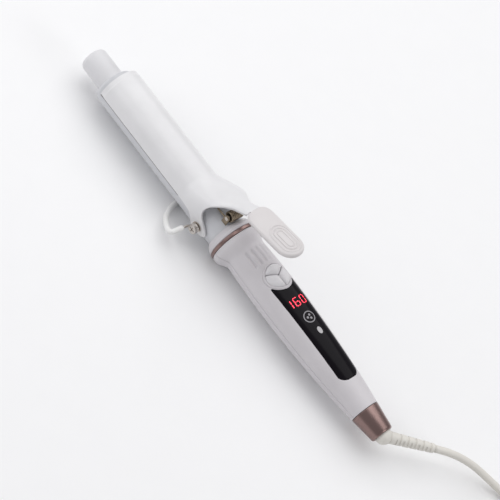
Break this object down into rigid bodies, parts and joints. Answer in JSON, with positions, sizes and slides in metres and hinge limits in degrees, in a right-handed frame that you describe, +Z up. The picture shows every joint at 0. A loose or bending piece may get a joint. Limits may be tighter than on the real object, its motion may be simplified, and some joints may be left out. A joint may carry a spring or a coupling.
{
  "type": "curling iron",
  "caption": "Hair curling iron with a sprung barrel clamp, folding wire stand, digital display handle with three buttons, and a swivel cord with a two-pin plug.",
  "frame": {"origin": "on the table, under the middle of the iron's own box (cord left out); the iron lies level on its metallic ring and its folded stand", "axes": "+X runs along the iron from its cool tip to its cord, +Z is up and on the lever's side, +Y is across"},
  "size_m": [0.5048, 0.116, 0.0712],
  "materials": {
    "plate_steel": "satin steel edge",
    "barrel_white": "satin ceramic coating",
    "tip_white": "satin",
    "cover_white": "satin",
    "pad_white": "fine matt texture",
    "handle_white": "satin",
    "button_white": "satin",
    "gloss_black": "gloss",
    "black_plastic": "matt",
    "rose_metal": "metallic rose-brown lacquer",
    "nickel": "nickel plated",
    "spring_bronze": "bronze-coloured passivated wire",
    "aluminium": "plain",
    "ceramic": "ceramic",
    "heater_film": "polyimide film",
    "board_green": "solder resist",
    "wire_red": "silicone insulation",
    "silicone_white": "matt silicone",
    "cord_ivory": "matt PVC",
    "tie_grey": "matt"
  },
  "bodies": {
    "root": {"barrel": "barrel_white", "barrel_tip": "tip_white", "heat_spreaders": "aluminium", "heater_strip": "heater_film", "thermistor": "heater_film", "pivot_bosses": "nickel", "pivot_screws": "nickel", "pivot_washers": "nickel", "spring_cheeks": "spring_bronze", "spring_pin": "nickel", "clamp_spring": "spring_bronze", "barrel_flange": "handle_white", "trim_ring": "rose_metal", "insulator_ring": "ceramic", "handle_upper_shell": "handle_white", "handle_lower_shell": "handle_white", "shell_screws": "nickel", "circuit_board": "board_green", "board_components": "black_plastic", "display_module": "black_plastic", "tact_switches": "black_plastic", "heater_leads": "wire_red", "display_panel": "gloss_black", "button_bezel": "handle_white", "tail_cap": "rose_metal", "swivel_bush": "black_plastic"},
    "clamp": {"clamp_plate": "plate_steel", "clamp_cover": "cover_white", "clamp_lever": "cover_white", "lever_tang": "aluminium", "thumb_pad": "pad_white"},
    "stand": {"stand_wire": "nickel", "stand_sleeve": "silicone_white"},
    "power_button": {"button_power": "button_white"},
    "plus_button": {"button_plus": "button_white"},
    "minus_button": {"button_minus": "button_white"},
    "swivel": {"swivel_ball": "cord_ivory", "strain_relief": "cord_ivory", "cord_tube": "cord_ivory", "plug_lead": "cord_ivory", "cord_coil": "cord_ivory", "cord_tie": "tie_grey", "plug_body": "cord_ivory", "plug_pins": "nickel"}
  },
  "joints": [
    {"name": "clamp_hinge", "type": "hinge", "parent": "root", "child": "clamp", "pos_m": [-0.0215, 0, 0.0192], "axis": [0, 1, 0], "range_deg": [0, 18], "stiffness_Nm_per_rad": 0.4, "springref_deg": -51.57, "deforming": ["clamp_spring"]},
    {"name": "stand_hinge", "type": "hinge", "parent": "root", "child": "stand", "pos_m": [-0.0215, 0, 0.0192], "axis": [0, -1, 0], "range_deg": [0, 100]},
    {"name": "power_press", "type": "slide", "parent": "root", "child": "power_button", "axis": [0, 0, -1], "range_m": [0, 0.0008], "stiffness_N_per_m": 600, "springref_m": -0.001},
    {"name": "plus_press", "type": "slide", "parent": "root", "child": "plus_button", "axis": [0, 0, -1], "range_m": [0, 0.0008], "stiffness_N_per_m": 600, "springref_m": -0.001},
    {"name": "minus_press", "type": "slide", "parent": "root", "child": "minus_button", "axis": [0, 0, -1], "range_m": [0, 0.0008], "stiffness_N_per_m": 600, "springref_m": -0.001},
    {"name": "cord_swivel", "type": "hinge", "parent": "root", "child": "swivel", "pos_m": [0.1715, 0, 0.0192], "axis": [1, 0, 0], "continuous": true}
  ]
}
